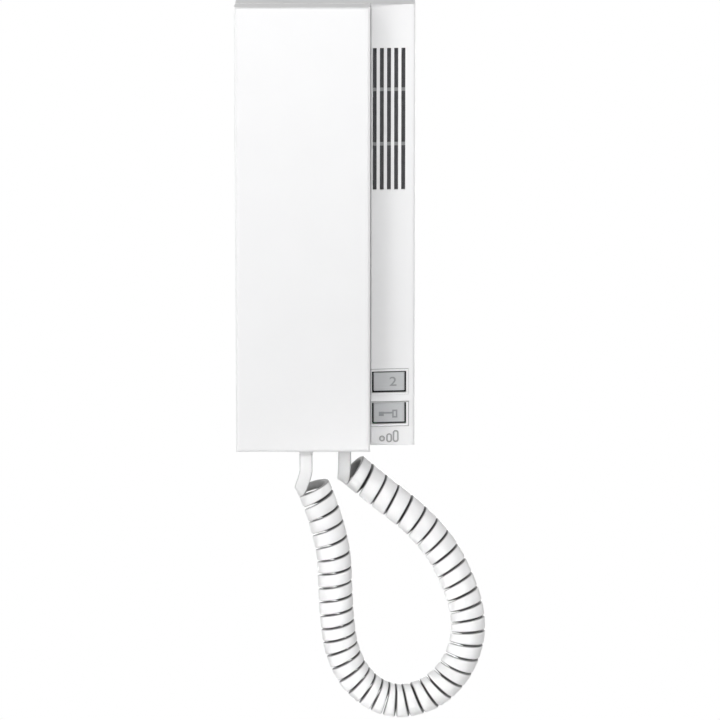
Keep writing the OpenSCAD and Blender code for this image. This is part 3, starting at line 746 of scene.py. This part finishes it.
def on_front(edge):
    """Whether an edge lies in the panel's front or on a window's raised rim."""
    return all(v.co.x > FRONT_X and FRONT_Y[0] < v.co.y - panel_y(v.co.x) < FRONT_Y[1]
               for v in edge.verts)


def rim_seam(low, high, line, top_line):
    """A cutter for the fine seam round a window's rim."""
    return frame_bar(RIM_LEFT, RIM_RIGHT + line, low - line, high + top_line,
                     (SEAM_LEFT_LINE, line, line, top_line), *SEAM_Y)


def make_housing():
    """The housing with its front's edges eased, a seam round each window's rim and sunk marks."""
    cutters = [rim_seam(*rim) for rim in RIMS]
    cutters += [capsule(*mark, *SIGN_CUT_Y) for mark in SIGN]
    # The walls cut for the seams and for the sign's outlines take the grey with painted shade.
    finishes = [FINISHES["white_gloss"], SEAM_PAINTED_SHADE_GREY]
    bm = cut_out(merged_copy("base_housing"), cutters, finishes)
    soften(bm, FRONT_ROUND, 2, on_front)
    piece = add_piece("base_housing_moulding", bm, "base", finishes)
    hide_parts("base_housing")


def make_volume_sign():
    """Rising marks that stand inside their own sunk outlines."""
    whole = bmesh.new()
    for x, low, high, half in SIGN:
        mark = capsule(x, low + SIGN_LINE, high - SIGN_LINE, half - SIGN_LINE, *SIGN_MARK_Y)
        soften(mark, SIGN_ROUND, 2, lambda e: all(v.co.y < panel_y(v.co.x) for v in e.verts))
        shape = bpy.data.meshes.new("mark")
        mark.to_mesh(shape)
        mark.free()
        whole.from_mesh(shape)
        bpy.data.meshes.remove(shape)
    add_piece("volume_sign", whole, "base", [FINISHES["white_gloss"]])


make_housing()
make_volume_sign()


# ---------- cloth behind the slots ----------

CLOTH_X = (22.6, 40.3)
CLOTH_Z = (15, 88.2)
CLOTH_BEHIND = 2.75
THREAD = 0.75
STEPS_PER_THREAD = 4
THREAD_RISE = 0.05


def make_cloth():
    """Woven cloth: crossed threads rise and dip by turns."""
    bm = bmesh.new()
    across, along = CLOTH_X[1] - CLOTH_X[0], CLOTH_Z[1] - CLOTH_Z[0]
    bmesh.ops.create_grid(bm, size=0.5, x_segments=int(across / THREAD * STEPS_PER_THREAD),
                          y_segments=int(along / THREAD * STEPS_PER_THREAD))
    for v in bm.verts:
        x = CLOTH_X[0] + (v.co.x + 0.5) * across
        z = CLOTH_Z[0] + (v.co.y + 0.5) * along
        weave = math.cos(math.pi * x / THREAD) * math.cos(math.pi * z / THREAD)
        v.co = (x, panel_y(x) + CLOTH_BEHIND - THREAD_RISE * weave, z)
    for face in bm.faces:
        face.smooth = True
    cloth = add_piece("acoustic_cloth", bm, "base", [FINISHES["gauze"]])
    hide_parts("grille_gauze")


make_cloth()


# ---------- cord reliefs ----------

LIP_ROUND = 0.25
LIP_TAPER = 0.06


def make_relief(node, body, exit_at):
    """The relief with its edges rounded and its lip tapering in round the cord."""
    bm = merged_copy(node)
    soften(bm, LIP_ROUND, 2, lambda e: True)
    for v in bm.verts:
        if v.co.z < exit_at.z:
            taper = 1 - LIP_TAPER * (exit_at.z - v.co.z) / GLAND_OUT
            v.co.x = exit_at.x + (v.co.x - exit_at.x) * taper
            v.co.y = exit_at.y + (v.co.y - exit_at.y) * taper
    piece = add_piece(node + "_moulding", bm, body, [GLAND_WHITE])
    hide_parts(node)


make_relief("handset_gland", "handset", HANDSET_EXIT)
make_relief("base_gland", "base", BASE_EXIT)


# ---------- floor ----------

FLOOR_Z = -2.5
FLOOR_HALF = 3
FLOOR_GLOW = 0.92


def pale_floor():
    """Pale matt floor, white to the eye and in reflections where no shadow falls."""
    material, tree, shader = start_finish("pale_floor", (0.85, 0.85, 0.85), 0.7)
    tint_by(tree, shader, object_grain(tree, 300), (0.84, 0.84, 0.84), (0.86, 0.86, 0.86))
    shown = tree.nodes.new("ShaderNodeMath")
    shown.operation = "MULTIPLY"
    shown.inputs[1].default_value = FLOOR_GLOW
    tree.links.new(seen_itself(tree), shown.inputs[0])
    shader.inputs["Emission Color"].default_value = (1, 1, 1, 1)
    tree.links.new(shown.outputs[0], shader.inputs["Emission Strength"])
    return material


def lay_floor():
    """The pale floor of the room, well below the hanging cord."""
    bm = bmesh.new()
    bmesh.ops.create_grid(bm, x_segments=8, y_segments=8, size=FLOOR_HALF)
    for v in bm.verts:
        v.co.z = FLOOR_Z
    mesh = bpy.data.meshes.new("floor")
    bm.to_mesh(mesh)
    bm.free()
    floor = bpy.data.objects.new("floor", mesh)
    bpy.context.scene.collection.objects.link(floor)
    mesh.materials.append(pale_floor())


lay_floor()
